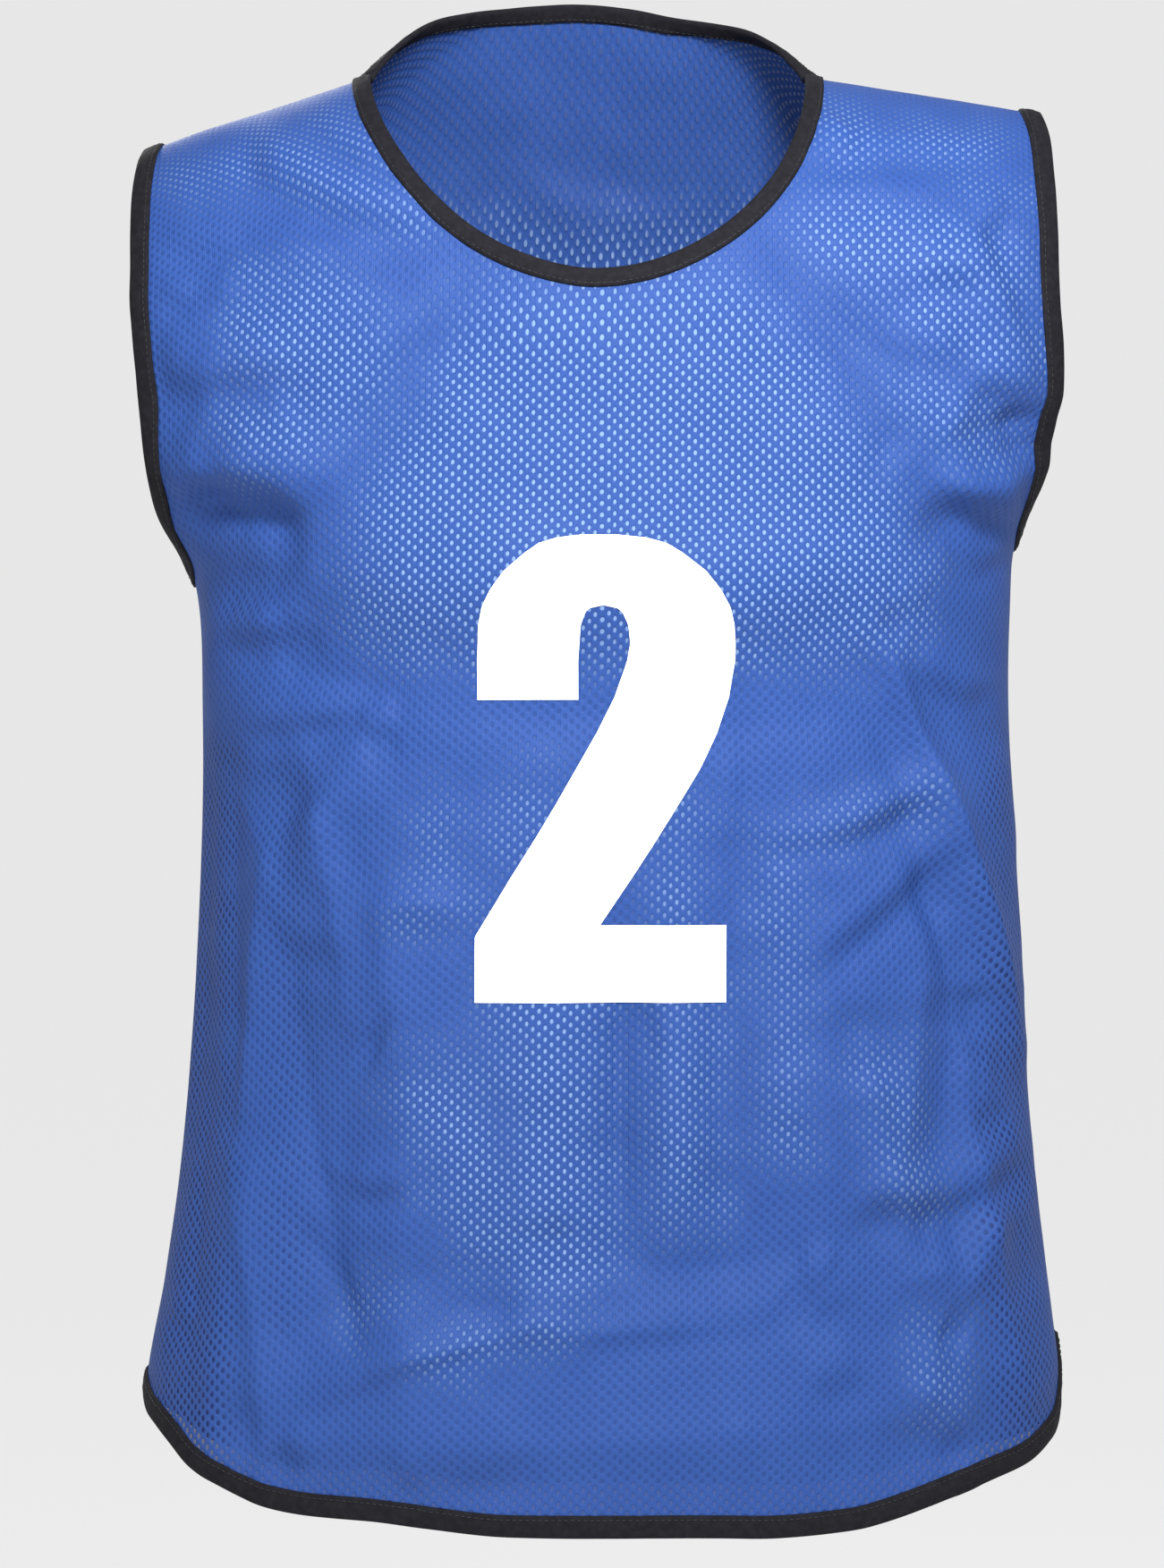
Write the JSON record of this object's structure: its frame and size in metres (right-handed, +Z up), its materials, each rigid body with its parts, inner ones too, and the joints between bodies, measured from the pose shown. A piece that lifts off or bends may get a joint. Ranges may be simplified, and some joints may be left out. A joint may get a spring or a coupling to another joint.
{
  "type": "mesh training bib",
  "caption": "Pull-on sleeveless mesh bib kept in its worn, hollow form, with bound neck, armholes and curved hem and a plain number on the chest.",
  "frame": {"origin": "midway between the neck ends of the two shoulder seams, where the wearer's shoulders hold the bib", "axes": "+Z up along the body, +X to the right as seen from the front, the front faces -Y"},
  "size_m": [0.4758, 0.2359, 0.7832],
  "materials": {
    "blue_mesh": "royal blue polyester mesh with small even holes, soft satin sheen",
    "black_binding": "matt black woven bias tape, folded over the edge and stitched",
    "white_print": "matt white heat-pressed film"
  },
  "bodies": {
    "root": {"front_panel": "blue_mesh", "back_panel": "blue_mesh", "neck_binding": "black_binding", "armhole_binding_left": "black_binding", "armhole_binding_right": "black_binding", "hem_binding_front": "black_binding", "hem_binding_back": "black_binding"}
  },
  "joints": []
}
